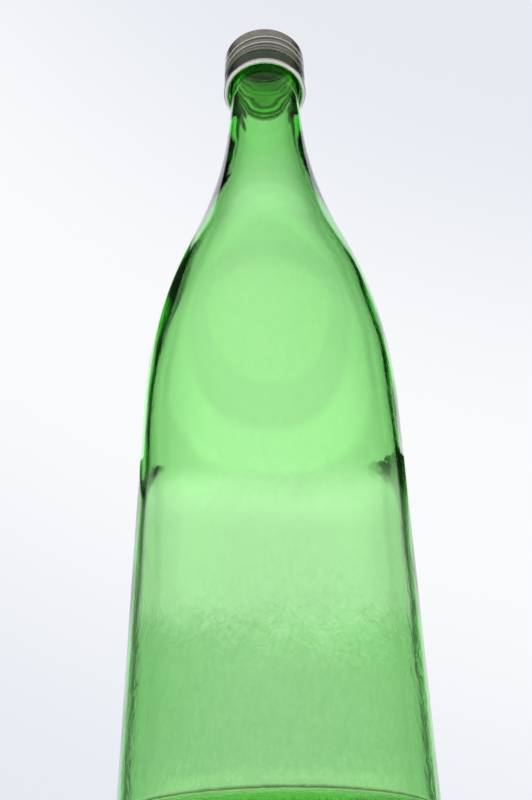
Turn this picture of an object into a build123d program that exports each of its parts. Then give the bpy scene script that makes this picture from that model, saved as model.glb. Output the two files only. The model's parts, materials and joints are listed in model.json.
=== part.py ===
"""Slender green glass bottle with a roll-on aluminium screw cap.

Everything is turned about the vertical Z axis.  The origin is the centre of the ring that the
bottle stands on, and +Z points to the mouth.  Lengths are millimetres.

glass_bottle   one blown piece: heel, punt, long sloping shoulder, neck, locking bead and thread
cap_shell      thin aluminium cap, its thread rolled in from outside against the glass thread
tamper_band    the ring below the cap, already parted from it, tucked in under the locking bead
liner_foam     the soft disc inside the top of the cap
liner_film     the film on that disc, which seals on the mouth
"""

from build123d import *
import os
from math import cos, radians, sin, tan

# Bottle body
BODY_RADIUS = 35.0
BODY_WALL = 2.2
SHOULDER_START = 116.0  # height at which the straight wall ends
SHOULDER_RADIUS = 176.0  # the outward curve of the shoulder
SLOPE_ANGLE = radians(18.6)  # steepest lean of the shoulder, from the vertical
SLOPE_LENGTH = 6.0  # straight stretch between the two long curves
HOLLOW_RADIUS = 225.0  # the inward curve from the shoulder into the neck
HOLLOW_INSIDE = 250.0  # the same curve inside, gentler, so that the wall thickens into the neck
NECK_WALL = 2.4  # under the locking bead
NECK_TAPER = radians(3.5)

# Heel, standing ring and punt
HEEL_HEIGHT = 7.6
RING_RADIUS = 28.0
RING_WIDTH = 1.6
PUNT_EDGE_RADIUS = 3.0
PUNT_EDGE_ANGLE = radians(24.0)
FLOOR_THICKNESS = 3.2  # glass between the punt and the inside, at the centre
FLOOR_DOME_RADIUS = 26.0  # where the inner floor's dome gives way to the inner heel curve
FLOOR_DOME_ANGLE = radians(12.0)

# Finish, the moulded top that carries the closure (28 mm roll-on type)
MOUTH_HEIGHT = 270.2
BORE_RADIUS = 9.0
ROOT_RADIUS = 12.45
LIP_RADIUS = 0.9
BEAD_RADIUS = 13.7
BEAD_LOW = MOUTH_HEIGHT - 14.4
BEAD_HIGH = MOUTH_HEIGHT - 12.2
BEAD_FILLET = 0.8
THREAD_PITCH = 3.175
THREAD_CREST_RADIUS = 13.7
THREAD_BASE = 1.9
THREAD_CREST = 0.7
THREAD_TOP = MOUTH_HEIGHT - 1.4  # height of the thread's upper end
THREAD_TURNS = 1.75
THREAD_OVERLAP = 0.4  # how far a helical bar runs into the wall it joins or cuts
THREAD_END_ANGLE = -45.0  # degrees about Z from +X to the thread's upper end

# Closure
SHELL_RADIUS = 14.3
SHELL_WALL = 0.25
SHELL_TOP = MOUTH_HEIGHT + 2.3
SHELL_CORNER = 1.0
SHELL_BOTTOM = MOUTH_HEIGHT - 9.6
HOLLOW_RUN = 1.0  # how far the space cut out of the shell runs on below its open end
ROLL_DEPTH = 0.85  # how far the rolled thread is pressed in
ROLL_MOUTH = 1.8
ROLL_FLOOR = 0.5
ROLL_TURNS = 1.75
ROLL_LEAD = 90.0  # degrees that the rolled thread runs on past the upper end of the glass thread
NECK_IN = 0.35  # both edges of the cut between cap and band lean in by this much
NECK_IN_HEIGHT = 0.8
BAND_TOP = MOUTH_HEIGHT - 10.1
BAND_BOTTOM = MOUTH_HEIGHT - 16.7
BAND_BULGE = 0.2
BAND_ROLL = 0.9  # radius of the rolled lower rim
TUCK_RADIUS = 12.65
TUCK_RISE = 0.7
BRIDGES = 8  # stubs of the torn bridges along the band's upper edge
BRIDGE_WIDTH = 0.8
BRIDGE_THICKNESS = 0.2
BRIDGE_HEIGHT = 0.2
LINER_RADIUS = 13.4
FILM_THICKNESS = 0.1
LINER_GAP = 0.05
LINER_EASE = 0.2  # chamfer of a disc's edges, as a share of its thickness

os.makedirs("parts", exist_ok=True)


def turned(outline):
    """Solid of revolution about Z from a closed outline drawn as (radius, height)."""
    return revolve(Plane.XZ * make_face(outline), Axis.Z)


def body_curve(radius, shoulder_radius, hollow_radius, end_radius):
    """Wall from the straight body to a neck of end_radius: two long arcs joined by a slope."""
    lean = (sin(SLOPE_ANGLE), cos(SLOPE_ANGLE))
    taper = (sin(NECK_TAPER), cos(NECK_TAPER))
    start = Vector(radius, SHOULDER_START)
    slope_low = start + Vector(-shoulder_radius * (1 - lean[1]), shoulder_radius * lean[0])
    slope_high = slope_low + Vector(-SLOPE_LENGTH * lean[0], SLOPE_LENGTH * lean[1])
    neck_low = slope_high + Vector(
        -hollow_radius * (taper[1] - lean[1]), hollow_radius * (lean[0] - taper[0])
    )
    rise = (neck_low.X - end_radius) / tan(NECK_TAPER)
    neck_high = Vector(end_radius, neck_low.Y + rise)
    return [
        TangentArc(start, slope_low, tangent=(0, 1)),
        Line(slope_low, slope_high),
        TangentArc(slope_high, neck_low, tangent=(-lean[0], lean[1])),
        Line(neck_low, neck_high),
    ]


def punt_curve():
    """Underside from the standing ring to the centre: a small rounding, then a dome."""
    ring_inner = RING_RADIUS - RING_WIDTH / 2
    dome_radius = ring_inner - PUNT_EDGE_RADIUS * sin(PUNT_EDGE_ANGLE)
    edge_rise = PUNT_EDGE_RADIUS * (1 - cos(PUNT_EDGE_ANGLE))
    depth = edge_rise + dome_radius * tan(PUNT_EDGE_ANGLE / 2)
    start = Vector(ring_inner, 0)
    joint = Vector(dome_radius, edge_rise)
    edge = TangentArc(start, joint, tangent=(-1, 0))
    dome = TangentArc(
        joint, Vector(0, depth), tangent=(-cos(PUNT_EDGE_ANGLE), sin(PUNT_EDGE_ANGLE))
    )
    return [edge, dome], depth


def floor_curve(floor_height, wall_radius):
    """Inner floor: a shallow dome, then the inner heel curve up to the wall."""
    dome_drop = FLOOR_DOME_RADIUS * tan(FLOOR_DOME_ANGLE / 2)
    joint = Vector(FLOOR_DOME_RADIUS, floor_height - dome_drop)
    heel_radius = (wall_radius - FLOOR_DOME_RADIUS) / (1 + sin(FLOOR_DOME_ANGLE))
    top = Vector(wall_radius, joint.Y + heel_radius * cos(FLOOR_DOME_ANGLE))
    dome = TangentArc(Vector(0, floor_height), joint, tangent=(1, 0))
    heel = TangentArc(joint, top, tangent=(cos(FLOOR_DOME_ANGLE), -sin(FLOOR_DOME_ANGLE)))
    return [dome, heel], top


def helical_bar(root_radius, crest_radius, base, crest, top, turns, end_angle):
    """Bar of trapezoid section wound about Z, with its upper end at end_angle."""
    outward = 1 if crest_radius > root_radius else -1
    depth = abs(crest_radius - root_radius)
    height = THREAD_PITCH * turns
    path = Helix(THREAD_PITCH, height, root_radius, center=(0, 0, top - height))
    buried = base + (base - crest) * THREAD_OVERLAP / depth
    section = Polyline(
        (-THREAD_OVERLAP, buried / 2),
        (depth, crest / 2),
        (depth, -crest / 2),
        (-THREAD_OVERLAP, -buried / 2),
        close=True,
    )
    across = Plane(origin=path @ 0, x_dir=(outward, 0, 0), z_dir=path % 0)
    bar = sweep(across * make_face(section), path=path, is_frenet=True)
    return Rot(0, 0, end_angle - 360 * turns) * bar


def glass_bottle():
    """The glass as one closed outline, outside then inside, plus the raised thread."""
    punt, punt_depth = punt_curve()
    inner_radius = BODY_RADIUS - BODY_WALL
    floor, floor_top = floor_curve(punt_depth + FLOOR_THICKNESS, inner_radius)
    ring_outer = RING_RADIUS + RING_WIDTH / 2
    heel = EllipticalCenterArc(
        (ring_outer, HEEL_HEIGHT), BODY_RADIUS - ring_outer, HEEL_HEIGHT, start_angle=270, arc_size=90
    )
    standing_ring = Line((RING_RADIUS - RING_WIDTH / 2, 0), (ring_outer, 0))

    neck_top_radius = BORE_RADIUS + NECK_WALL
    outer = body_curve(BODY_RADIUS, SHOULDER_RADIUS, HOLLOW_RADIUS, neck_top_radius)
    inner = body_curve(
        inner_radius, SHOULDER_RADIUS - BODY_WALL, HOLLOW_INSIDE, BORE_RADIUS
    )
    outer_wall = Line((BODY_RADIUS, HEEL_HEIGHT), outer[0] @ 0)
    inner_wall = Line(floor_top, inner[0] @ 0)

    neck_end = outer[-1] @ 1
    under_bead = TangentArc(
        neck_end, Vector(BEAD_RADIUS - BEAD_FILLET, BEAD_LOW), tangent=(-sin(NECK_TAPER), cos(NECK_TAPER))
    )
    bead_low = Vector(BEAD_RADIUS, BEAD_LOW + BEAD_FILLET)
    bead_high = Vector(BEAD_RADIUS, BEAD_HIGH - BEAD_FILLET)
    bead_shoulder = Vector(BEAD_RADIUS - BEAD_FILLET, BEAD_HIGH)
    finish_low = Vector(ROOT_RADIUS, BEAD_HIGH + BEAD_FILLET)
    bead = [
        RadiusArc(under_bead @ 1, bead_low, -BEAD_FILLET),
        Line(bead_low, bead_high),
        RadiusArc(bead_high, bead_shoulder, -BEAD_FILLET),
        Line(bead_shoulder, finish_low),
    ]
    finish_high = Vector(ROOT_RADIUS, MOUTH_HEIGHT - LIP_RADIUS)
    lip_outer = Vector(ROOT_RADIUS - LIP_RADIUS, MOUTH_HEIGHT)
    lip_inner = Vector(BORE_RADIUS + LIP_RADIUS / 2, MOUTH_HEIGHT)
    bore_high = Vector(BORE_RADIUS, MOUTH_HEIGHT - LIP_RADIUS / 2)
    lip = [
        Line(finish_low, finish_high),
        RadiusArc(finish_high, lip_outer, -LIP_RADIUS),
        Line(lip_outer, lip_inner),
        RadiusArc(lip_inner, bore_high, -LIP_RADIUS / 2),
        Line(bore_high, inner[-1] @ 1),
    ]
    axis_line = Line((0, punt_depth), (0, punt_depth + FLOOR_THICKNESS))
    edges = punt + [standing_ring, heel, outer_wall] + outer + [under_bead] + bead
    edges = edges + lip + inner + [inner_wall] + floor + [axis_line]
    blank = turned(edges)
    thread = helical_bar(
        ROOT_RADIUS,
        THREAD_CREST_RADIUS,
        THREAD_BASE,
        THREAD_CREST,
        THREAD_TOP,
        THREAD_TURNS,
        THREAD_END_ANGLE,
    )
    return blank + thread


def cap_shell():
    """Drawn cup of even wall, with the thread pressed in from outside as a helical groove."""
    edge_high = SHELL_BOTTOM + NECK_IN_HEIGHT
    inner_radius = SHELL_RADIUS - SHELL_WALL
    inner_corner = SHELL_CORNER - SHELL_WALL
    inner_top = SHELL_TOP - SHELL_WALL
    open_end = SHELL_BOTTOM - HOLLOW_RUN
    outside = [
        Line((0, SHELL_BOTTOM), (SHELL_RADIUS - NECK_IN, SHELL_BOTTOM)),
        Line((SHELL_RADIUS - NECK_IN, SHELL_BOTTOM), (SHELL_RADIUS, edge_high)),
        Line((SHELL_RADIUS, edge_high), (SHELL_RADIUS, SHELL_TOP - SHELL_CORNER)),
        RadiusArc(
            (SHELL_RADIUS, SHELL_TOP - SHELL_CORNER), (SHELL_RADIUS - SHELL_CORNER, SHELL_TOP), -SHELL_CORNER
        ),
        Line((SHELL_RADIUS - SHELL_CORNER, SHELL_TOP), (0, SHELL_TOP)),
        Line((0, SHELL_TOP), (0, SHELL_BOTTOM)),
    ]
    inside = [
        Line((0, open_end), (inner_radius - NECK_IN, open_end)),
        Line((inner_radius - NECK_IN, open_end), (inner_radius - NECK_IN, SHELL_BOTTOM)),
        Line((inner_radius - NECK_IN, SHELL_BOTTOM), (inner_radius, edge_high)),
        Line((inner_radius, edge_high), (inner_radius, inner_top - inner_corner)),
        RadiusArc(
            (inner_radius, inner_top - inner_corner), (inner_radius - inner_corner, inner_top), -inner_corner
        ),
        Line((inner_radius - inner_corner, inner_top), (0, inner_top)),
        Line((0, inner_top), (0, open_end)),
    ]
    # The rolled thread lies half a pitch below the glass thread and runs on past its upper end
    roll_top = THREAD_TOP - THREAD_PITCH / 2 + THREAD_PITCH * ROLL_LEAD / 360
    roll_place = (roll_top, ROLL_TURNS, THREAD_END_ANGLE + ROLL_LEAD)
    groove = helical_bar(SHELL_RADIUS, SHELL_RADIUS - ROLL_DEPTH, ROLL_MOUTH, ROLL_FLOOR, *roll_place)
    ridge = helical_bar(
        inner_radius,
        inner_radius - ROLL_DEPTH,
        ROLL_MOUTH + SHELL_WALL,
        ROLL_FLOOR + SHELL_WALL,
        *roll_place,
    )
    return (turned(outside) - groove) - (turned(inside) - ridge)


def tamper_band():
    """Thin ring whose lower edge bulges, rolls under and is tucked in towards the neck."""
    inner_radius = SHELL_RADIUS - SHELL_WALL
    roll_centre = Vector(SHELL_RADIUS + BAND_BULGE - BAND_ROLL, BAND_BOTTOM + BAND_ROLL)
    inner_roll = BAND_ROLL - SHELL_WALL
    edge_low = BAND_TOP - NECK_IN_HEIGHT
    bulge_top = roll_centre.Y + BAND_ROLL
    tuck_low = Vector(TUCK_RADIUS, BAND_BOTTOM + TUCK_RISE)
    tuck_high = tuck_low + Vector(0, SHELL_WALL)
    outer_side = roll_centre + Vector(BAND_ROLL, 0)
    outer_foot = roll_centre + Vector(0, -BAND_ROLL)
    inner_side = roll_centre + Vector(inner_roll, 0)
    inner_foot = roll_centre + Vector(0, -inner_roll)
    ring = turned(
        [
            Line((inner_radius - NECK_IN, BAND_TOP), (SHELL_RADIUS - NECK_IN, BAND_TOP)),
            Line((SHELL_RADIUS - NECK_IN, BAND_TOP), (SHELL_RADIUS, edge_low)),
            Line((SHELL_RADIUS, edge_low), (SHELL_RADIUS, bulge_top)),
            Line((SHELL_RADIUS, bulge_top), outer_side),
            RadiusArc(outer_side, outer_foot, BAND_ROLL),
            Line(outer_foot, tuck_low),
            Line(tuck_low, tuck_high),
            Line(tuck_high, inner_foot),
            RadiusArc(inner_foot, inner_side, -inner_roll),
            Line(inner_side, (inner_radius, bulge_top)),
            Line((inner_radius, bulge_top), (inner_radius, edge_low)),
            Line((inner_radius, edge_low), (inner_radius - NECK_IN, BAND_TOP)),
        ]
    )
    stub = Pos(inner_radius - NECK_IN + SHELL_WALL / 2, 0, BAND_TOP) * Box(
        BRIDGE_THICKNESS, BRIDGE_WIDTH, 2 * BRIDGE_HEIGHT
    )
    for place in PolarLocations(0, BRIDGES):
        ring = ring + place * stub
    return ring


def disc(radius, low, high):
    """Flat round disc with slightly eased edges."""
    ease = LINER_EASE * (high - low)
    return Pos(0, 0, low) * chamfer(
        Cylinder(radius, high - low, align=(Align.CENTER, Align.CENTER, Align.MIN)).edges(), ease
    )


film_top = MOUTH_HEIGHT + FILM_THICKNESS
foam_top = SHELL_TOP - SHELL_WALL - LINER_GAP

pieces = {
    "glass_bottle": glass_bottle(),
    "cap_shell": cap_shell(),
    "tamper_band": tamper_band(),
    "liner_foam": disc(LINER_RADIUS, film_top, foam_top),
    "liner_film": disc(LINER_RADIUS, MOUTH_HEIGHT, film_top),
}
for name, piece in pieces.items():
    piece.label = name
    export_step(piece, f"parts/{name}.step")
    print(name, round(piece.volume, 1), piece.bounding_box().size)
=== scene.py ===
"""Green glass bottle with a roll-on aluminium screw cap, seen from below its base in a bright field."""

import json
from math import atan2, ceil, cos, pi, radians, sin, tan

import bmesh
import bpy
from mathutils import Matrix, Vector, noise


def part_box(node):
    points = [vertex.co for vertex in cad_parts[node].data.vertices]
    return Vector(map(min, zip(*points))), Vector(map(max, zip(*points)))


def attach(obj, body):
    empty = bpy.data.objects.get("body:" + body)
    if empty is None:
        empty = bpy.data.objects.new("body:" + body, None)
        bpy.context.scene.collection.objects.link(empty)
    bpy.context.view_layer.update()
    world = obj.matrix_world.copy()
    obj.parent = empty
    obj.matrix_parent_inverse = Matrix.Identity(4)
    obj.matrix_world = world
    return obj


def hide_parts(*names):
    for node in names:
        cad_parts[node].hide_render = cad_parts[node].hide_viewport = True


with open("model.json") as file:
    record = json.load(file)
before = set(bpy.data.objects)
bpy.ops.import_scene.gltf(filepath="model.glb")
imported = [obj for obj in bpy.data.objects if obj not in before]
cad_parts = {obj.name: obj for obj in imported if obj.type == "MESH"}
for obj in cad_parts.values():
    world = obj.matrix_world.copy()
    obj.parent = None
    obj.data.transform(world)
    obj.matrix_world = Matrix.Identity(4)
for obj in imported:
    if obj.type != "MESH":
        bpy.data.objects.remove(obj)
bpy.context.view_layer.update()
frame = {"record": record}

MM = 0.001
TINY = 1e-6

# ---------------------------------------------------------------- sizes, in metres
# The frame gives each node's box and the bore. The other sizes repeat the design's own.

BOTTLE_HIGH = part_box("glass_bottle")[1]
SHELL_LOW, SHELL_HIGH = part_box("cap_shell")
BAND_LOW, BAND_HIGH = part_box("tamper_band")
FOAM_LOW, FOAM_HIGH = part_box("liner_foam")
FILM_LOW, FILM_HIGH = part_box("liner_film")
MOUTH = next(m for m in frame["record"]["mounts"] if m["name"] == "mouth")

BODY_RADIUS = BOTTLE_HIGH.x
MOUTH_HEIGHT = BOTTLE_HIGH.z
BORE_RADIUS = MOUTH["dims"]["r_mm"] * MM
BODY_WALL = 2.2 * MM
NECK_WALL = 2.4 * MM
SHOULDER_START = 116 * MM
SHOULDER_RADIUS = 176 * MM
SLOPE_ANGLE = radians(18.6)
SLOPE_LENGTH = 6 * MM
HOLLOW_RADIUS = 225 * MM
HOLLOW_INSIDE = 250 * MM
NECK_TAPER = radians(3.5)
NECK_SWELL = 0.35 * MM
SWELL_FOOT = (190 * MM, 225 * MM)
SWELL_HEAD = (236 * MM, 244 * MM)
WALL_WAVE = 0.12 * MM
WALL_WAVE_LENGTH = 22 * MM
WALL_WAVE_SPREAD = 1.1
WAVES_FOOT = (14 * MM, 40 * MM)
WAVES_HEAD = (200 * MM, 235 * MM)
HEEL_HEIGHT = 7.6 * MM
HEEL_STEPS = 24
RING_RADIUS = 28 * MM
RING_WIDTH = 1.6 * MM
RING_KNURLS = 64
RING_KNURL_DEPTH = 0.12 * MM
PUNT_EDGE_RADIUS = 3 * MM
PUNT_EDGE_ANGLE = radians(24)
FLOOR_THICKNESS = 3.2 * MM
FLOOR_DOME_RADIUS = 26 * MM
FLOOR_DOME_ANGLE = radians(12)
ROOT_RADIUS = 12.45 * MM
LIP_RADIUS = 0.9 * MM
BEAD_RADIUS = 13.7 * MM
BEAD_LOW = MOUTH_HEIGHT - 14.4 * MM
BEAD_HIGH = MOUTH_HEIGHT - 12.2 * MM
BEAD_FILLET = 0.8 * MM
THREAD_PITCH = 3.175 * MM
THREAD_HEIGHT = 1.25 * MM
THREAD_BASE = 1.9 * MM
THREAD_CREST = 0.7 * MM
THREAD_TOP = MOUTH_HEIGHT - 1.4 * MM
THREAD_TURNS = 1.75
THREAD_END = radians(-45)
THREAD_FADE = radians(14)
BOTTLE_SEGMENTS = 320

SHELL_RADIUS = SHELL_HIGH.x
SHELL_WALL = 0.25 * MM
SHELL_CORNER = 1.0 * MM
ROLL_DEPTH = 0.85 * MM
ROLL_MOUTH = 1.8 * MM
ROLL_FLOOR = 0.5 * MM
ROLL_LEAD = radians(90)
ROLL_FADE = radians(22)
ROLL_TOP = THREAD_TOP - THREAD_PITCH / 2 + THREAD_PITCH * ROLL_LEAD / (2 * pi)
NECK_IN = 0.35 * MM
NECK_IN_HEIGHT = 0.8 * MM
BAND_BULGE = 0.2 * MM
BAND_ROLL = 0.9 * MM
TUCK_RADIUS = 12.65 * MM
TUCK_RISE = 0.7 * MM
BRIDGES = 8
BRIDGE_WIDTH = 0.8 * MM
BRIDGE_HEIGHT = 0.2 * MM
CAP_SEGMENTS = 288
BAND_SEGMENTS = 320
DISC_SEGMENTS = 128
DISC_EASE = 0.3
DISC_CENTRE = 0.3

# ---------------------------------------------------------------- finishes

GLASS_IOR = 1.52
GLASS_COLOUR = (0.174, 0.905, 0.022, 1)
GLASS_DENSITY = 230.0
CLEAR_TINT = (1.0, 1.0, 1.0)
HAZE_TINT = (0.92, 0.955, 0.92)
HAZE_FADE = (0.35 * SHOULDER_START, 0.6 * SHOULDER_START)
HAZE_ABOVE = 0.35
PEEL_SHARE = 0.35
CALM_FADE = (0.4 * SHOULDER_START, 0.65 * SHOULDER_START)
CALM_ABOVE = 0.2
GLASS_ROUGHEST = 0.03

CAP_ROUGHNESS = 0.24
CAP_WORN = (0.74, 0.71, 0.68)
CAP_BRIGHT = (0.90, 0.87, 0.83)
# Painted shade: dark colours for the cap's grooves and for its skirt near the cut edge.
GROOVE_PAINTED_SHADE_DARK = (0.11, 0.14, 0.115)
GROOVE_PAINTED_SHADE_PALE = (0.19, 0.22, 0.19)
SKIRT_PAINTED_SHADE = 0.85
BAND_ROUGHNESS = 0.22
# Painted reflection: the band's dull olive wall colours stand in for the dim green light the wall reflects.
BAND_PAINTED_REFLECTION_DARK = (0.17, 0.25, 0.19)
BAND_PAINTED_REFLECTION_PALE = (0.26, 0.33, 0.26)
BAND_PAINTED_REFLECTION_LINES = (0.22, 0.28, 0.22)
RIM_WORN = (0.82, 0.82, 0.83)
RIM_BRIGHT = (0.92, 0.92, 0.93)
# Painted shade: dark colour in the tuck under the band's rolled rim.
TUCK_PAINTED_SHADE = (0.12, 0.14, 0.12)
LACQUER = (0.95, 0.95, 0.92)
LACQUER_WORN = (0.88, 0.88, 0.84)
# Painted shade: dark metal colour for the inside beside the slit between shell and band.
SLIT_PAINTED_SHADE = (0.10, 0.12, 0.10)
FOAM_COLOUR = (0.80, 0.80, 0.76)
FILM_COLOUR = (0.035, 0.04, 0.035)
CELL_SHADE = 0.85

# ---------------------------------------------------------------- studio
# Headings are angles from +Y, the way the camera looks, and grow to the right. Rises are angles above the
# horizon. A pair of angles says where a soft change begins and ends. A pair with two more numbers
# also says what it changes from and to.

PANEL_HALF_WIDTH = radians(34)
PANEL_EDGE = radians(3)
PANEL_FOOT = (radians(2), radians(7))
PANEL_HEAD = (radians(66), radians(74))
PANEL_BRIGHT = (0.955, 0.96, 0.975)
PANEL_PALE = (0.80, 0.83, 0.885)
GLOW_RISE = radians(33)
GLOW_LEAN = 0.36
GLOW_FADE = (radians(2), radians(26))
LEFT_TO_RIGHT = (radians(-5), radians(5))
NOTCH_LEFT = (radians(29.2), radians(31.3), 0, radians(18))
NOTCH_RIGHT = (radians(26), radians(31.3), 0, radians(22))
NOTCH_HEAD = (radians(31.3), radians(31.6))
NARROW_LEFT = (radians(38), radians(44), 0, radians(12))
NARROW_HEAD = (radians(50), radians(53))
WIDER_HIGH = (radians(49), radians(56), 0, radians(9))
GAIN_LOWEST = (radians(20.5), radians(24), 0.95, 0.80)
GAIN_LOWER = (radians(27.5), radians(31.5), 0.80, 1.12)
GAIN_UPPER = (radians(38), radians(52), 1.12, 1.0)
GAIN_ACROSS = (radians(-30), radians(25), 1.05, 0.98)

STRIP_LOW = radians(22.4)
STRIP_HIGH = radians(30.2)
STRIP_EDGE = radians(1.3)
STRIP_START = (radians(44), radians(52))
STRIP_COLOUR = (2.4, 2.2, 2.4)
STRIP_SIDE_COLOUR = (1.0, 0.95, 1.0)
BOARD_TOP = radians(14.6)
BOARD_EDGE = radians(0.8)
BOARD_COLOUR = (0.95, 0.80, 0.50)
BEHIND = (radians(60), radians(110))
SIDE_DARKENS = (radians(28), radians(29.5))
BACK_BRIGHTENS = (radians(36), radians(54))
ROOM_COLOUR = (0.25, 0.235, 0.215)
ROOM_LOW_COLOUR = (0.16, 0.16, 0.16)
ROOM_DARK_COLOUR = (0.012, 0.012, 0.012)
OVERHEAD = (radians(60), radians(88))
OVERHEAD_COLOUR = (0.8, 0.8, 0.8)

FLOOR_RADIUS = 6.0
FLOOR_GAP = 0.1 * MM
FLOOR_COLOUR = (0.82, 0.83, 0.84, 1)
FLOOR_ROUGHNESS = 0.7
FLOOR_GLOW = 24.0
FLOOR_GLOW_COLOUR = (1.0, 0.33, 0.8, 1)
GLASS_CROSSINGS = 4
SUN_SPREAD = radians(100)
SUN_POWER = 1.3

CAMERA_DISTANCE = 229.5 * MM
CAMERA_DROP = 38.9 * MM
CAMERA_PITCH = radians(35)
CAMERA_HEADING = radians(-0.33)
CAMERA_ROLL = radians(-0.92)
# The lens and the sensor are in millimetres, as Blender has them
CAMERA_LENS = 45.1575
SENSOR_HEIGHT = 36

# ---------------------------------------------------------------- outlines: lists of (radius, height)


def spaced(start, end, step):
    """Points from start towards end, without end, no further apart than step."""
    a, b = Vector(start), Vector(end)
    count = max(1, ceil((b - a).length / step))
    return [tuple(a.lerp(b, i / count)) for i in range(count)]


def bend(start, heading, end, step=radians(3)):
    """Arc that leaves start along heading and ends at end, without end itself."""
    a, b, along = Vector(start), Vector(end), Vector(heading).normalized()
    across = Vector((-along.y, along.x))
    chord = b - a
    signed_radius = chord.length_squared / (2 * chord.dot(across))
    centre = a + across * signed_radius
    begin = atan2(a.y - centre.y, a.x - centre.x)
    sweep = (atan2(b.y - centre.y, b.x - centre.x) - begin) % (2 * pi)
    if signed_radius < 0:
        sweep -= 2 * pi
    count = max(2, ceil(abs(sweep) / step))
    radius = abs(signed_radius)
    angles = [begin + sweep * i / count for i in range(count)]
    return [(centre.x + radius * cos(t), centre.y + radius * sin(t)) for t in angles]


def body_wall(radius, shoulder_radius, hollow_radius, end_radius):
    """Wall from the straight body up to a neck of end_radius: two long arcs joined by a slope."""
    lean, taper = (sin(SLOPE_ANGLE), cos(SLOPE_ANGLE)), (sin(NECK_TAPER), cos(NECK_TAPER))
    start = Vector((radius, SHOULDER_START))
    slope_low = start + shoulder_radius * Vector((lean[1] - 1, lean[0]))
    slope_high = slope_low + SLOPE_LENGTH * Vector((-lean[0], lean[1]))
    neck_low = slope_high + hollow_radius * Vector((lean[1] - taper[1], lean[0] - taper[0]))
    neck_high = Vector((end_radius, neck_low.y + (neck_low.x - end_radius) / tan(NECK_TAPER)))
    points = bend(start, (0, 1), slope_low, radians(0.6))
    points += spaced(slope_low, slope_high, 2 * MM)
    points += bend(slope_high, (-lean[0], lean[1]), neck_low, radians(0.6))
    points += spaced(neck_low, neck_high, 2 * MM)
    return points, tuple(neck_high)


def foot_outline():
    """Underside of the glass, from the centre of the punt to the top of the heel, and the punt's depth."""
    ring_inner, ring_outer = RING_RADIUS - RING_WIDTH / 2, RING_RADIUS + RING_WIDTH / 2
    dome_radius = ring_inner - PUNT_EDGE_RADIUS * sin(PUNT_EDGE_ANGLE)
    edge_rise = PUNT_EDGE_RADIUS * (1 - cos(PUNT_EDGE_ANGLE))
    punt_depth = edge_rise + dome_radius * tan(PUNT_EDGE_ANGLE / 2)
    points = bend((0, punt_depth), (1, 0), (dome_radius, edge_rise), radians(2))
    slope = (cos(PUNT_EDGE_ANGLE), -sin(PUNT_EDGE_ANGLE))
    points += bend((dome_radius, edge_rise), slope, (ring_inner, 0))
    points += spaced((ring_inner, 0), (ring_outer, 0), RING_WIDTH / 3)
    for i in range(HEEL_STEPS):
        turn = pi / 2 * i / HEEL_STEPS
        across = ring_outer + (BODY_RADIUS - ring_outer) * sin(turn)
        points.append((across, HEEL_HEIGHT * (1 - cos(turn))))
    return points, punt_depth


def finish_outline(neck_end):
    """Outside of the glass above the neck: the locking bead, the finish and the rounded lip."""
    bead_foot = (BEAD_RADIUS - BEAD_FILLET, BEAD_LOW)
    bead_low = (BEAD_RADIUS, BEAD_LOW + BEAD_FILLET)
    bead_high = (BEAD_RADIUS, BEAD_HIGH - BEAD_FILLET)
    bead_top = (BEAD_RADIUS - BEAD_FILLET, BEAD_HIGH)
    points = bend(neck_end, (-sin(NECK_TAPER), cos(NECK_TAPER)), bead_foot, radians(8))
    points += bend(bead_foot, (1, 0), bead_low, radians(10))
    points += spaced(bead_low, bead_high, 0.3 * MM)
    points += bend(bead_high, (0, 1), bead_top, radians(10))
    finish_low = (ROOT_RADIUS, BEAD_HIGH + BEAD_FILLET)
    finish_high = (ROOT_RADIUS, MOUTH_HEIGHT - LIP_RADIUS)
    lip_outer = (ROOT_RADIUS - LIP_RADIUS, MOUTH_HEIGHT)
    lip_inner = (BORE_RADIUS + LIP_RADIUS / 2, MOUTH_HEIGHT)
    points += spaced(bead_top, finish_low, 0.3 * MM)
    points += spaced(finish_low, finish_high, 0.16 * MM)
    points += bend(finish_high, (0, 1), lip_outer, radians(10))
    points += spaced(lip_outer, lip_inner, 0.5 * MM)
    bore_high = (BORE_RADIUS, MOUTH_HEIGHT - LIP_RADIUS / 2)
    return points + bend(lip_inner, (-1, 0), bore_high, radians(12))


def outside_outline():
    """Outside of the glass, from the centre of the punt up to the mouth, and the punt's depth."""
    points, punt_depth = foot_outline()
    points += spaced((BODY_RADIUS, HEEL_HEIGHT), (BODY_RADIUS, SHOULDER_START), 2 * MM)
    neck_radius = BORE_RADIUS + NECK_WALL
    wall, neck_end = body_wall(BODY_RADIUS, SHOULDER_RADIUS, HOLLOW_RADIUS, neck_radius)
    return points + wall + finish_outline(neck_end), punt_depth


def inside_outline(punt_depth):
    """Inside of the glass, from the centre of its floor up to the top of the bore."""
    radius = BODY_RADIUS - BODY_WALL
    floor = punt_depth + FLOOR_THICKNESS
    dome_edge = (FLOOR_DOME_RADIUS, floor - FLOOR_DOME_RADIUS * tan(FLOOR_DOME_ANGLE / 2))
    heel_radius = (radius - FLOOR_DOME_RADIUS) / (1 + sin(FLOOR_DOME_ANGLE))
    heel_top = (radius, dome_edge[1] + heel_radius * cos(FLOOR_DOME_ANGLE))
    points = bend((0, floor), (1, 0), dome_edge, radians(1))
    points += bend(dome_edge, (cos(FLOOR_DOME_ANGLE), -sin(FLOOR_DOME_ANGLE)), heel_top)
    points += spaced(heel_top, (radius, SHOULDER_START), 2 * MM)
    wall, bore_low = body_wall(radius, SHOULDER_RADIUS - BODY_WALL, HOLLOW_INSIDE, BORE_RADIUS)
    points += wall
    points += spaced(bore_low, (BORE_RADIUS, MOUTH_HEIGHT - LIP_RADIUS / 2), 1.5 * MM)
    return points


# ---------------------------------------------------------------- mesh building


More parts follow.
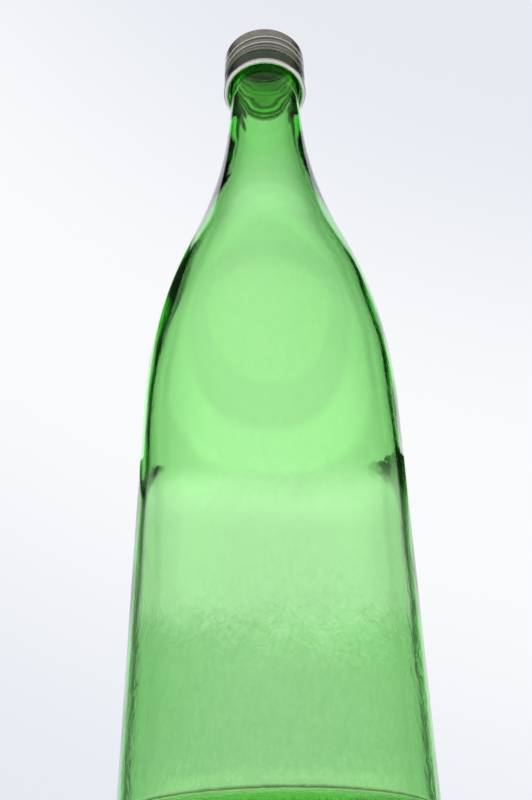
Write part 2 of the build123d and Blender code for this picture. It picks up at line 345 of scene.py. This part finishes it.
def smoothstep(low, high, value):
    """Smooth change from 0 to 1 as value goes from low to high."""
    t = min(max((value - low) / (high - low), 0.0), 1.0)
    return t * t * (3 - 2 * t)


def ring_of(bm, radius, height, segments, shape):
    """A ring of vertices about Z, or a single vertex on the axis."""
    if radius < TINY:
        return [bm.verts.new((0, 0, height))]
    ring = []
    for i in range(segments):
        turn = 2 * pi * i / segments
        r, z = shape(radius, height, turn) if shape else (radius, height)
        ring.append(bm.verts.new((r * cos(turn), r * sin(turn), z)))
    return ring


def join_rings(bm, low, high, segments):
    """Faces between two rings, of which one may be a single vertex."""
    for i in range(segments):
        j = (i + 1) % segments
        if len(low) == 1:
            bm.faces.new((low[0], high[j], high[i]))
        elif len(high) == 1:
            bm.faces.new((low[i], low[j], high[0]))
        else:
            bm.faces.new((low[i], low[j], high[j], high[i]))


def turned(name, outline, segments, shape=None, closed=False, inner_points=0):
    """Surface of revolution about Z. shape(radius, height, turn) may move a point.

    The first inner_points of the outline are marked as the piece's inside, for its material.
    """
    bm = bmesh.new()
    rings = [ring_of(bm, radius, height, segments, shape) for radius, height in outline]
    pairs = list(zip(rings, rings[1:]))
    if closed:
        pairs.append((rings[-1], rings[0]))
    for low, high in pairs:
        join_rings(bm, low, high, segments)
    bmesh.ops.recalc_face_normals(bm, faces=bm.faces)
    mesh = bpy.data.meshes.new(name)
    bm.to_mesh(mesh)
    bm.free()
    mesh.polygons.foreach_set("use_smooth", [True] * len(mesh.polygons))
    marks = []
    for index, ring in enumerate(rings):
        marks += [float(index < inner_points)] * len(ring)
    mesh.attributes.new("inner", "FLOAT", "POINT").data.foreach_set("value", marks)
    piece = bpy.data.objects.new(name, mesh)
    bpy.context.scene.collection.objects.link(piece)
    return piece


def helix_share(turn, height, end_turn, top, turns, base, crest, fade):
    """How much of a helical bar's full height stands at this place, from 0 to 1."""
    best = 0.0
    first = (end_turn - turn) % (2 * pi)
    for whole in range(-1, ceil(turns) + 1):
        down = first + 2 * pi * whole
        length = 2 * pi * turns
        if down < -fade or down > length + fade:
            continue
        centre = top - THREAD_PITCH * down / (2 * pi)
        ends = smoothstep(-fade, fade, down) * smoothstep(-fade, fade, length - down)
        across = 1 - smoothstep(crest / 2, base / 2, abs(height - centre))
        best = max(best, ends * across)
    return best


def glass_shape(radius, height, turn):
    """Raises the thread on the finish, and cuts the fine grip marks across the standing ring."""
    on_finish = abs(radius - ROOT_RADIUS) < TINY and height > BEAD_HIGH
    if on_finish:
        share = helix_share(
            turn, height, THREAD_END, THREAD_TOP, THREAD_TURNS, THREAD_BASE, THREAD_CREST, THREAD_FADE
        )
        return radius + THREAD_HEIGHT * share, height
    on_ring = height < RING_KNURL_DEPTH and abs(radius - RING_RADIUS) < RING_WIDTH * 0.55
    if on_ring:
        return radius, height + RING_KNURL_DEPTH * (0.5 - 0.5 * cos(RING_KNURLS * turn))
    return radius, height


def inner_shape(radius, height, turn):
    """Slow waves in the wall's thickness, as blowing leaves them, and a little more glass in the neck."""
    place = Vector((cos(turn) * WALL_WAVE_SPREAD, sin(turn) * WALL_WAVE_SPREAD, height / WALL_WAVE_LENGTH))
    wave = WALL_WAVE * smoothstep(*WAVES_FOOT, height) * (1 - smoothstep(*WAVES_HEAD, height))
    swell = NECK_SWELL * smoothstep(*SWELL_FOOT, height) * (1 - smoothstep(*SWELL_HEAD, height))
    return radius + wave * noise.noise(place) - swell, height


def make_bottle():
    """The glass, as one closed skin: up the outside and back down the inside."""
    outside, punt_depth = outside_outline()
    inside = inside_outline(punt_depth)
    inside_places = {(round(r, 7), round(z, 7)) for r, z in inside}

    def shape(radius, height, turn):
        if (round(radius, 7), round(height, 7)) in inside_places:
            return inner_shape(radius, height, turn)
        return glass_shape(radius, height, turn)

    outline = outside + list(reversed(inside))
    piece = turned("bottle_glass", outline, BOTTLE_SEGMENTS, shape)
    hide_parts("glass_bottle")
    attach(piece, "bottle")
    return piece


def cup_outline(low, radius, corner, top):
    """One skin of the cap, from the cut edge up and over to the centre of the top."""
    edge = low + NECK_IN_HEIGHT
    points = bend((radius - NECK_IN, low), (0, 1), (radius - NECK_IN / 2, (low + edge) / 2), radians(6))
    points += spaced((radius - NECK_IN / 2, (low + edge) / 2), (radius, edge), 0.1 * MM)
    points += spaced((radius, edge), (radius, top - corner), 0.14 * MM)
    points += bend((radius, top - corner), (0, 1), (radius - corner, top), radians(8))
    points += spaced((radius - corner, top), (0, top), 1.5 * MM)
    return points + [(0, top)]


def rolled(radius, height, turn):
    """The thread that the rollers pressed into the skirt, the same on both skins. The crown stays flat."""
    if height > ROLL_TOP + ROLL_MOUTH or radius < SHELL_RADIUS - 3 * SHELL_WALL - NECK_IN:
        return radius, height
    share = helix_share(
        turn, height, THREAD_END + ROLL_LEAD, ROLL_TOP, THREAD_TURNS, ROLL_MOUTH, ROLL_FLOOR, ROLL_FADE
    )
    return radius - ROLL_DEPTH * share, height


def make_cap():
    """The shell, as one closed skin: down the inside and up the outside."""
    outside = cup_outline(SHELL_LOW.z, SHELL_RADIUS, SHELL_CORNER, SHELL_HIGH.z)
    inner_radius = SHELL_RADIUS - SHELL_WALL
    inside = cup_outline(SHELL_LOW.z, inner_radius, SHELL_CORNER - SHELL_WALL, SHELL_HIGH.z - SHELL_WALL)
    outline = list(reversed(inside)) + outside
    piece = turned("cap_shell_skin", outline, CAP_SEGMENTS, rolled, inner_points=len(inside))
    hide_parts("cap_shell")
    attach(piece, "cap")
    return piece


def band_skins(low, high):
    """Inside and outside of the band. Together they close round the sheet, with its rim rolled under."""
    radius, inner = SHELL_RADIUS, SHELL_RADIUS - SHELL_WALL
    centre = Vector((radius + BAND_BULGE - BAND_ROLL, low + BAND_ROLL))
    inner_roll = BAND_ROLL - SHELL_WALL
    bulge_top = centre.y + BAND_ROLL
    edge = high - NECK_IN_HEIGHT
    tuck_low = Vector((TUCK_RADIUS, low + TUCK_RISE))
    inside = spaced((tuck_low.x, tuck_low.y + SHELL_WALL), (centre.x, low + SHELL_WALL), 0.2 * MM)
    inside += bend((centre.x, low + SHELL_WALL), (1, 0), (centre.x + inner_roll, centre.y), radians(10))
    inside += spaced((centre.x + inner_roll, centre.y), (inner, bulge_top), 0.15 * MM)
    inside += spaced((inner, bulge_top), (inner, edge), 0.3 * MM)
    inside += spaced((inner, edge), (inner - NECK_IN, high), 0.15 * MM)
    outside = spaced((inner - NECK_IN, high), (radius - NECK_IN, high), SHELL_WALL)
    outside += spaced((radius - NECK_IN, high), (radius, edge), 0.15 * MM)
    outside += spaced((radius, edge), (radius, bulge_top), 0.3 * MM)
    outside += spaced((radius, bulge_top), (centre.x + BAND_ROLL, centre.y), 0.15 * MM)
    outside += bend((centre.x + BAND_ROLL, centre.y), (0, -1), (centre.x, low), radians(10))
    outside += spaced((centre.x, low), tuck_low, 0.2 * MM)
    outside += spaced(tuck_low, (tuck_low.x, tuck_low.y + SHELL_WALL), 0.2 * MM)
    return inside, outside


def make_band():
    """The ring that stays on the neck, with the stubs of its torn bridges on the upper edge."""
    high = BAND_HIGH.z - BRIDGE_HEIGHT
    inside, outside = band_skins(BAND_LOW.z, high)
    spacing = 2 * pi / BRIDGES

    def torn(radius, height, turn):
        if height < high - TINY:
            return radius, height
        aside = abs((turn + spacing / 2) % spacing - spacing / 2) * radius
        stub = 1 - smoothstep(0.3 * BRIDGE_WIDTH, 0.6 * BRIDGE_WIDTH, aside)
        return radius, height + BRIDGE_HEIGHT * stub

    outline = inside + outside
    piece = turned("tamper_band_ring", outline, BAND_SEGMENTS, torn, closed=True, inner_points=len(inside))
    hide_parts("tamper_band")
    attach(piece, "band")
    return piece


def make_disc(name, cad_node, low, high):
    """A liner disc with rounded edges."""
    radius = (high.x - low.x) / 2
    ease = (high.z - low.z) * DISC_EASE
    centre = radius * DISC_CENTRE
    outline = [(0, low.z)] + spaced((centre, low.z), (radius - ease, low.z), 1.2 * MM)
    outline += bend((radius - ease, low.z), (1, 0), (radius, low.z + ease), radians(15))
    outline += spaced((radius, low.z + ease), (radius, high.z - ease), 0.4 * MM)
    outline += bend((radius, high.z - ease), (0, 1), (radius - ease, high.z), radians(15))
    outline += spaced((radius - ease, high.z), (centre, high.z), 1.2 * MM) + [(0, high.z)]
    piece = turned(name, outline, DISC_SEGMENTS)
    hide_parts(cad_node)
    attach(piece, "liner")
    return piece


# ---------------------------------------------------------------- materials


def new_material(name):
    """A material with its node tree, its shader and its output node."""
    material = bpy.data.materials.new(name)
    material.use_nodes = True
    tree = material.node_tree
    shader = tree.nodes["Principled BSDF"]
    output = tree.nodes["Material Output"]
    return material, tree, shader, output


def node(tree, kind, **settings):
    """A new node. Each setting is one of its properties, or else the value of an input socket."""
    made = tree.nodes.new(kind)
    for name, value in settings.items():
        if hasattr(made, name):
            setattr(made, name, value)
        else:
            made.inputs[name.replace("_", " ").title()].default_value = value
    return made


def ramp(tree, value, low, high, start, end, kind="SMOOTHSTEP"):
    """Change from start to end as value goes from low to high, smooth unless kind is LINEAR."""
    made = tree.nodes.new("ShaderNodeMapRange")
    made.interpolation_type = kind
    for name, number in (("From Min", low), ("From Max", high), ("To Min", start), ("To Max", end)):
        made.inputs[name].default_value = number
    tree.links.new(value, made.inputs["Value"])
    return made.outputs["Result"]


def calc(tree, operation, *values):
    """Result of a Math node. Each value is a number or another node's output."""
    made = tree.nodes.new("ShaderNodeMath")
    made.operation = operation
    for socket, value in zip(made.inputs, values):
        if isinstance(value, (int, float)):
            socket.default_value = value
        else:
            tree.links.new(value, socket)
    return made.outputs["Value"]


def blended(tree, factor, first, second):
    """Colour that goes from first to second. Each is a colour or another node's output."""
    made = tree.nodes.new("ShaderNodeMix")
    made.data_type = "RGBA"
    for socket, value in ((made.inputs[0], factor), (made.inputs[6], first), (made.inputs[7], second)):
        if isinstance(value, tuple):
            socket.default_value = (*value, 1)
        elif isinstance(value, (int, float)):
            socket.default_value = value
        else:
            tree.links.new(value, socket)
    return made.outputs[2]


def object_place(tree, stretch=(1, 1, 1)):
    """Object coordinates, stretched."""
    coords = tree.nodes.new("ShaderNodeTexCoord")
    mapping = tree.nodes.new("ShaderNodeMapping")
    mapping.inputs["Scale"].default_value = stretch
    tree.links.new(coords.outputs["Object"], mapping.inputs["Vector"])
    return mapping.outputs["Vector"]


def axis_and_height(tree):
    """Distance from the axis and height, both in metres, from object coordinates."""
    coords = tree.nodes.new("ShaderNodeTexCoord")
    parts = tree.nodes.new("ShaderNodeSeparateXYZ")
    tree.links.new(coords.outputs["Object"], parts.inputs["Vector"])
    squares = [calc(tree, "POWER", parts.outputs[axis], 2.0) for axis in ("X", "Y")]
    return calc(tree, "SQRT", calc(tree, "ADD", *squares)), parts.outputs["Z"]


def noise_on(tree, stretch=(1, 1, 1), **settings):
    """Noise over the piece, in its own coordinates, stretched."""
    made = node(tree, "ShaderNodeTexNoise", **settings)
    tree.links.new(object_place(tree, stretch), made.inputs["Vector"])
    return made.outputs["Fac"]


def add_relief(tree, shader, relief, strength, distance):
    """Bump the surface by this relief."""
    bump = node(tree, "ShaderNodeBump", strength=strength, distance=distance)
    tree.links.new(relief, bump.inputs["Height"])
    tree.links.new(bump.outputs["Normal"], shader.inputs["Normal"])


def glass_tint(tree, height):
    """Nearly clear, with a faint mottling that is strongest low on the body."""
    mottle = noise_on(tree, (1, 1, 0.5), scale=420.0, detail=4.0, roughness=0.65, distortion=1.2)
    clouds = ramp(tree, mottle, 0.35, 0.65, 0, 1)
    hazy = ramp(tree, height, *HAZE_FADE, 1, HAZE_ABOVE)
    return blended(tree, calc(tree, "MULTIPLY", clouds, hazy), CLEAR_TINT, HAZE_TINT)


def glass_relief(tree, height):
    """Slow waves and a finer peel in the surface, both calmer in the upper part."""
    waves = noise_on(tree, (1, 1, 0.55), scale=95.0, detail=2.0, roughness=0.5, distortion=0.8)
    peel = noise_on(tree, (1, 1, 0.7), scale=260.0, detail=2.5, roughness=0.55, distortion=1.6)
    relief = calc(tree, "ADD", waves, calc(tree, "MULTIPLY", peel, PEEL_SHARE))
    calm = ramp(tree, height, *CALM_FADE, 1, CALM_ABOVE)
    return calc(tree, "MULTIPLY", relief, calm)


def green_glass():
    """Clear glass whose green comes from absorption in its thickness."""
    material, tree, shader, output = new_material("green_bottle_glass")
    _, height = axis_and_height(tree)
    tree.links.new(glass_tint(tree, height), shader.inputs["Base Color"])
    shader.inputs["Transmission Weight"].default_value = 1.0
    shader.inputs["IOR"].default_value = GLASS_IOR
    absorb = tree.nodes.new("ShaderNodeVolumeAbsorption")
    absorb.inputs["Color"].default_value = GLASS_COLOUR
    absorb.inputs["Density"].default_value = GLASS_DENSITY
    tree.links.new(absorb.outputs["Volume"], output.inputs["Volume"])
    add_relief(tree, shader, glass_relief(tree, height), strength=0.22, distance=0.4 * MM)
    speck = noise_on(tree, scale=60.0, detail=4.0)
    rough = ramp(tree, speck, 0.45, 0.8, 0.0, GLASS_ROUGHEST, kind="LINEAR")
    tree.links.new(rough, shader.inputs["Roughness"])
    return material


def sheet_metal(name, roughness):
    """Rolled aluminium, with fine turned lines in its relief and smudges in its gloss."""
    material, tree, shader, _ = new_material(name)
    shader.inputs["Metallic"].default_value = 1.0
    lines = noise_on(tree, (50, 50, 7000), scale=1.0, detail=3.0, roughness=0.6)
    smudges = noise_on(tree, scale=260.0, detail=4.0)
    gloss = ramp(tree, smudges, 0.3, 0.7, roughness - 0.06, roughness + 0.1)
    tree.links.new(gloss, shader.inputs["Roughness"])
    add_relief(tree, shader, lines, strength=0.15, distance=0.04 * MM)
    return material, tree, shader, lines, smudges


def lacquer_inside(tree, shader, height, outside, smudges):
    """The outside colour as given, and pale lacquer inside, except beside the slit above the band, where a
    dark metal colour is painted shade.
    """
    attribute = tree.nodes.new("ShaderNodeAttribute")
    attribute.attribute_name = "inner"
    slit = (SHELL_LOW.z + BAND_HIGH.z - BRIDGE_HEIGHT) / 2
    off_slit = calc(tree, "ABSOLUTE", calc(tree, "SUBTRACT", height, slit))
    whole = ramp(tree, off_slit, 1.0 * MM, 1.5 * MM, 0, 1)
    inner = calc(tree, "MULTIPLY", attribute.outputs["Fac"], whole)
    # Painted shade: inside, beside the slit, a dark metal colour takes the lacquer's place.
    outside_or_slit_shade = blended(tree, attribute.outputs["Fac"], outside, SLIT_PAINTED_SHADE)
    lacquer = blended(tree, smudges, LACQUER, LACQUER_WORN)
    tree.links.new(blended(tree, inner, outside_or_slit_shade, lacquer), shader.inputs["Base Color"])
    tree.links.new(calc(tree, "SUBTRACT", 1.0, inner), shader.inputs["Metallic"])


def cap_metal():
    """Bare on the crown and the ridges, with painted shade, a dark colour, in the grooves and near the cut
    edge, and lacquered inside.
    """
    material, tree, shader, lines, smudges = sheet_metal("cap_sheet", CAP_ROUGHNESS)
    radius, height = axis_and_height(tree)
    worn = blended(tree, lines, CAP_WORN, CAP_BRIGHT)
    # Painted shade: the grooves and the skirt near the cut edge get a dark base colour.
    recess_shade = ramp(tree, radius, SHELL_RADIUS - 0.3 * ROLL_DEPTH, SHELL_RADIUS - 0.06 * ROLL_DEPTH, 1, 0)
    below_crown = ramp(tree, height, SHELL_HIGH.z - 3.6 * MM, SHELL_HIGH.z - 2.8 * MM, 1, 0)
    recess_shade = calc(tree, "MULTIPLY", recess_shade, below_crown)
    skirt = ramp(tree, height, SHELL_LOW.z + 0.6 * MM, SHELL_LOW.z + 2.0 * MM, SKIRT_PAINTED_SHADE, 0)
    groove_and_skirt_shade = blended(tree, smudges, GROOVE_PAINTED_SHADE_DARK, GROOVE_PAINTED_SHADE_PALE)
    outside = blended(tree, calc(tree, "MAXIMUM", recess_shade, skirt), worn, groove_and_skirt_shade)
    lacquer_inside(tree, shader, height, outside, smudges)
    return material


def band_metal():
    """Painted reflection on the wall, a dull olive colour, over a bright rolled rim, with painted shade, a
    dark colour, in the tuck under the rim.
    """
    material, tree, shader, lines, smudges = sheet_metal("band_sheet", BAND_ROUGHNESS)
    radius, height = axis_and_height(tree)
    # Painted reflection: the wall's dull olive colour.
    wall = blended(tree, lines, blended(tree, smudges, BAND_PAINTED_REFLECTION_DARK, BAND_PAINTED_REFLECTION_PALE), BAND_PAINTED_REFLECTION_LINES)
    edge = BAND_LOW.z + 2 * BAND_ROLL
    above_rim = ramp(tree, height, edge - 0.5 * MM, edge + 0.1 * MM, 0, 1)
    # Painted shade: the tuck under the rim is dark.
    off_tuck = ramp(tree, radius, TUCK_RADIUS + 0.3 * MM, TUCK_RADIUS + 0.7 * MM, 0, 1)
    rim = blended(tree, off_tuck, TUCK_PAINTED_SHADE, blended(tree, lines, RIM_WORN, RIM_BRIGHT))
    lacquer_inside(tree, shader, height, blended(tree, above_rim, rim, wall), smudges)
    return material


def liner_plastic(name, colour, roughness, cell_scale, cell_depth):
    """Plastic with small cells, a little darker away from each cell's middle."""
    material, tree, shader, _ = new_material(name)
    shader.inputs["Roughness"].default_value = roughness
    cells = node(tree, "ShaderNodeTexVoronoi", scale=cell_scale)
    tree.links.new(object_place(tree), cells.inputs["Vector"])
    darker = tuple(c * CELL_SHADE for c in colour)
    shade = blended(tree, cells.outputs["Distance"], colour, darker)
    tree.links.new(shade, shader.inputs["Base Color"])
    add_relief(tree, shader, cells.outputs["Distance"], strength=0.4, distance=cell_depth)
    return material


# ---------------------------------------------------------------- floor, light and camera


def glow_for_matt(tree, shader):
    """Glow only for light that has met a matt surface and crossed the glass several times.

    It stands for a lamp that shines into the cap, whose inside is seen through the neck.
    """
    light_path = tree.nodes.new("ShaderNodeLightPath")
    matt = calc(tree, "MINIMUM", light_path.outputs["Diffuse Depth"], 1.0)
    deep = calc(tree, "GREATER_THAN", light_path.outputs["Transmission Depth"], GLASS_CROSSINGS + 0.5)
    glow = calc(tree, "MULTIPLY", calc(tree, "MULTIPLY", matt, deep), FLOOR_GLOW)
    shader.inputs["Emission Color"].default_value = FLOOR_GLOW_COLOUR
    tree.links.new(glow, shader.inputs["Emission Strength"])


def clear_from_below(tree, shader, output):
    """Make the surface clear from its back, so that a camera under the floor sees through it."""
    side = tree.nodes.new("ShaderNodeNewGeometry")
    clear = tree.nodes.new("ShaderNodeBsdfTransparent")
    mix = tree.nodes.new("ShaderNodeMixShader")
    tree.links.new(side.outputs["Backfacing"], mix.inputs["Fac"])
    tree.links.new(shader.outputs["BSDF"], mix.inputs[1])
    tree.links.new(clear.outputs["BSDF"], mix.inputs[2])
    tree.links.new(mix.outputs["Shader"], output.inputs["Surface"])


def make_floor():
    """Pale floor, just under the standing ring."""
    bm = bmesh.new()
    bmesh.ops.create_circle(bm, cap_ends=True, radius=FLOOR_RADIUS, segments=96)
    mesh = bpy.data.meshes.new("floor")
    bm.to_mesh(mesh)
    bm.free()
    floor = bpy.data.objects.new("floor", mesh)
    floor.location.z = -FLOOR_GAP
    bpy.context.scene.collection.objects.link(floor)
    material, tree, shader, output = new_material("pale_floor")
    shader.inputs["Base Color"].default_value = FLOOR_COLOUR
    shader.inputs["Roughness"].default_value = FLOOR_ROUGHNESS
    glow_for_matt(tree, shader)
    clear_from_below(tree, shader, output)
    mesh.materials.append(material)


def sky_angles(tree):
    """Heading and rise of the direction looked at, and how far the heading is to either side."""
    coords = tree.nodes.new("ShaderNodeTexCoord")
    parts = tree.nodes.new("ShaderNodeSeparateXYZ")
    tree.links.new(coords.outputs["Generated"], parts.inputs["Vector"])
    heading = calc(tree, "ARCTAN2", parts.outputs["X"], parts.outputs["Y"])
    rise = calc(tree, "ARCSINE", parts.outputs["Z"])
    return heading, rise, calc(tree, "ABSOLUTE", heading)


def panel_share(tree, heading, rise, aside):
    """Where the panel is. Both edges are notched, the left one is cut back above, and its top is wider."""
    left = ramp(tree, heading, *LEFT_TO_RIGHT, 1, 0)
    right = calc(tree, "SUBTRACT", 1.0, left)
    left_notch = calc(tree, "MULTIPLY", left, ramp(tree, rise, *NOTCH_LEFT))
    right_notch = calc(tree, "MULTIPLY", right, ramp(tree, rise, *NOTCH_RIGHT))
    notch = calc(tree, "ADD", left_notch, right_notch)
    notch = calc(tree, "MULTIPLY", notch, ramp(tree, rise, *NOTCH_HEAD, 1, 0))
    narrow = calc(tree, "MULTIPLY", ramp(tree, rise, *NARROW_LEFT), ramp(tree, rise, *NARROW_HEAD, 1, 0))
    edge_place = calc(tree, "ADD", aside, notch)
    edge_place = calc(tree, "ADD", edge_place, calc(tree, "MULTIPLY", left, narrow))
    edge_place = calc(tree, "SUBTRACT", edge_place, ramp(tree, rise, *WIDER_HIGH))
    across = ramp(tree, edge_place, PANEL_HALF_WIDTH - PANEL_EDGE, PANEL_HALF_WIDTH + PANEL_EDGE, 1, 0)
    below_head = ramp(tree, rise, *PANEL_HEAD, 1, 0)
    above_foot = ramp(tree, rise, *PANEL_FOOT, 0, 1)
    return calc(tree, "MULTIPLY", across, calc(tree, "MULTIPLY", above_foot, below_head))


def panel_shade(tree, heading, rise):
    """Colour of the panel, which is brightest along a line that leans across it."""
    lean = calc(tree, "MULTIPLY", heading, GLOW_LEAN)
    off_glow = calc(tree, "SUBTRACT", calc(tree, "ADD", rise, lean), GLOW_RISE)
    pale = ramp(tree, calc(tree, "ABSOLUTE", off_glow), *GLOW_FADE, 0, 1)
    return blended(tree, pale, PANEL_BRIGHT, PANEL_PALE)


def room_shade(tree, rise, aside):
    """Colour of the room: dark, with a pale strip of wall, a low board behind, and light overhead."""
    behind = ramp(tree, aside, *BEHIND, 0, 1)
    side_room = blended(tree, ramp(tree, rise, *SIDE_DARKENS, 0, 1), ROOM_LOW_COLOUR, ROOM_DARK_COLOUR)
    back_room = blended(tree, ramp(tree, rise, *BACK_BRIGHTENS, 0, 1), ROOM_DARK_COLOUR, ROOM_COLOUR)
    room = blended(tree, behind, side_room, back_room)
    strip_foot = ramp(tree, rise, STRIP_LOW - STRIP_EDGE, STRIP_LOW + STRIP_EDGE, 0, 1)
    strip_head = ramp(tree, rise, STRIP_HIGH - STRIP_EDGE, STRIP_HIGH + STRIP_EDGE, 1, 0)
    strip = calc(tree, "MULTIPLY", strip_foot, strip_head)
    strip = calc(tree, "MULTIPLY", strip, ramp(tree, aside, *STRIP_START, 0, 1))
    room = blended(tree, strip, room, blended(tree, behind, STRIP_SIDE_COLOUR, STRIP_COLOUR))
    board = ramp(tree, rise, BOARD_TOP - BOARD_EDGE, BOARD_TOP, 1, 0)
    room = blended(tree, calc(tree, "MULTIPLY", board, behind), room, BOARD_COLOUR)
    return blended(tree, ramp(tree, rise, *OVERHEAD, 0, 1), room, OVERHEAD_COLOUR)


def world_gain(tree, heading, rise, seen):
    """How bright the world is: 1 straight from the camera, and uneven for what glass and metal see."""
    middle = calc(tree, "MINIMUM", ramp(tree, rise, *GAIN_LOWER), ramp(tree, rise, *GAIN_UPPER))
    gain = calc(tree, "MAXIMUM", ramp(tree, rise, *GAIN_LOWEST), middle)
    gain = calc(tree, "MULTIPLY", gain, ramp(tree, heading, *GAIN_ACROSS))
    extra = calc(tree, "SUBTRACT", gain, 1.0)
    unseen = calc(tree, "SUBTRACT", 1.0, seen)
    return calc(tree, "ADD", calc(tree, "MULTIPLY", extra, unseen), 1.0)


def make_world():
    """A bright panel behind the bottle in a darker room. The camera itself sees only the panel's colour."""
    world = bpy.data.worlds.new("studio")
    bpy.context.scene.world = world
    world.use_nodes = True
    tree = world.node_tree
    background = tree.nodes["Background"]
    heading, rise, aside = sky_angles(tree)
    seen = tree.nodes.new("ShaderNodeLightPath").outputs["Is Camera Ray"]
    panel = calc(tree, "MAXIMUM", panel_share(tree, heading, rise, aside), seen)
    colour = blended(tree, panel, room_shade(tree, rise, aside), panel_shade(tree, heading, rise))
    tree.links.new(colour, background.inputs["Color"])
    tree.links.new(world_gain(tree, heading, rise, seen), background.inputs["Strength"])


def make_sun():
    """Weak, soft sun that lights matt surfaces. The camera, mirrors and glass don't see it."""
    data = bpy.data.lights.new("overhead", "SUN")
    data.angle = SUN_SPREAD
    data.energy = SUN_POWER
    lamp = bpy.data.objects.new("overhead", data)
    lamp.location = (0, 0, 1)
    lamp.visible_camera = False
    lamp.visible_glossy = False
    lamp.visible_transmission = False
    bpy.context.scene.collection.objects.link(lamp)


def make_camera():
    """The view: below the base, looking up along the bottle."""
    data = bpy.data.cameras.new("camera")
    data.sensor_fit = "VERTICAL"
    data.sensor_height = SENSOR_HEIGHT
    data.lens = CAMERA_LENS
    data.clip_start = 0.01
    data.clip_end = 50
    level = Vector((cos(CAMERA_HEADING), -sin(CAMERA_HEADING), 0))
    ahead = Vector((sin(CAMERA_HEADING), cos(CAMERA_HEADING), 0))
    forward = ahead * cos(CAMERA_PITCH) + Vector((0, 0, sin(CAMERA_PITCH)))
    upward = level.cross(forward)
    right = level * cos(CAMERA_ROLL) + upward * sin(CAMERA_ROLL)
    up = upward * cos(CAMERA_ROLL) - level * sin(CAMERA_ROLL)
    turn = Matrix((right, up, -forward)).transposed().to_4x4()
    camera = bpy.data.objects.new("camera", data)
    camera.matrix_world = Matrix.Translation((0, -CAMERA_DISTANCE, -CAMERA_DROP)) @ turn
    bpy.context.scene.collection.objects.link(camera)
    bpy.context.scene.camera = camera


# ---------------------------------------------------------------- scene

make_camera()
bottle = make_bottle()
bottle.data.materials.append(green_glass())
cap = make_cap()
cap.data.materials.append(cap_metal())
band = make_band()
band.data.materials.append(band_metal())
foam = make_disc("liner_foam_disc", "liner_foam", FOAM_LOW, FOAM_HIGH)
foam.data.materials.append(liner_plastic("foam", FOAM_COLOUR, 0.75, 2600.0, 0.08 * MM))
film = make_disc("liner_film_disc", "liner_film", FILM_LOW, FILM_HIGH)
film.data.materials.append(liner_plastic("film", FILM_COLOUR, 0.35, 900.0, 0.02 * MM))
make_floor()
make_world()
make_sun()

scene = bpy.context.scene
scene.view_settings.view_transform = "Standard"
scene.cycles.max_bounces = 32
scene.cycles.transmission_bounces = 32
scene.cycles.glossy_bounces = 16
scene.cycles.transparent_max_bounces = 32
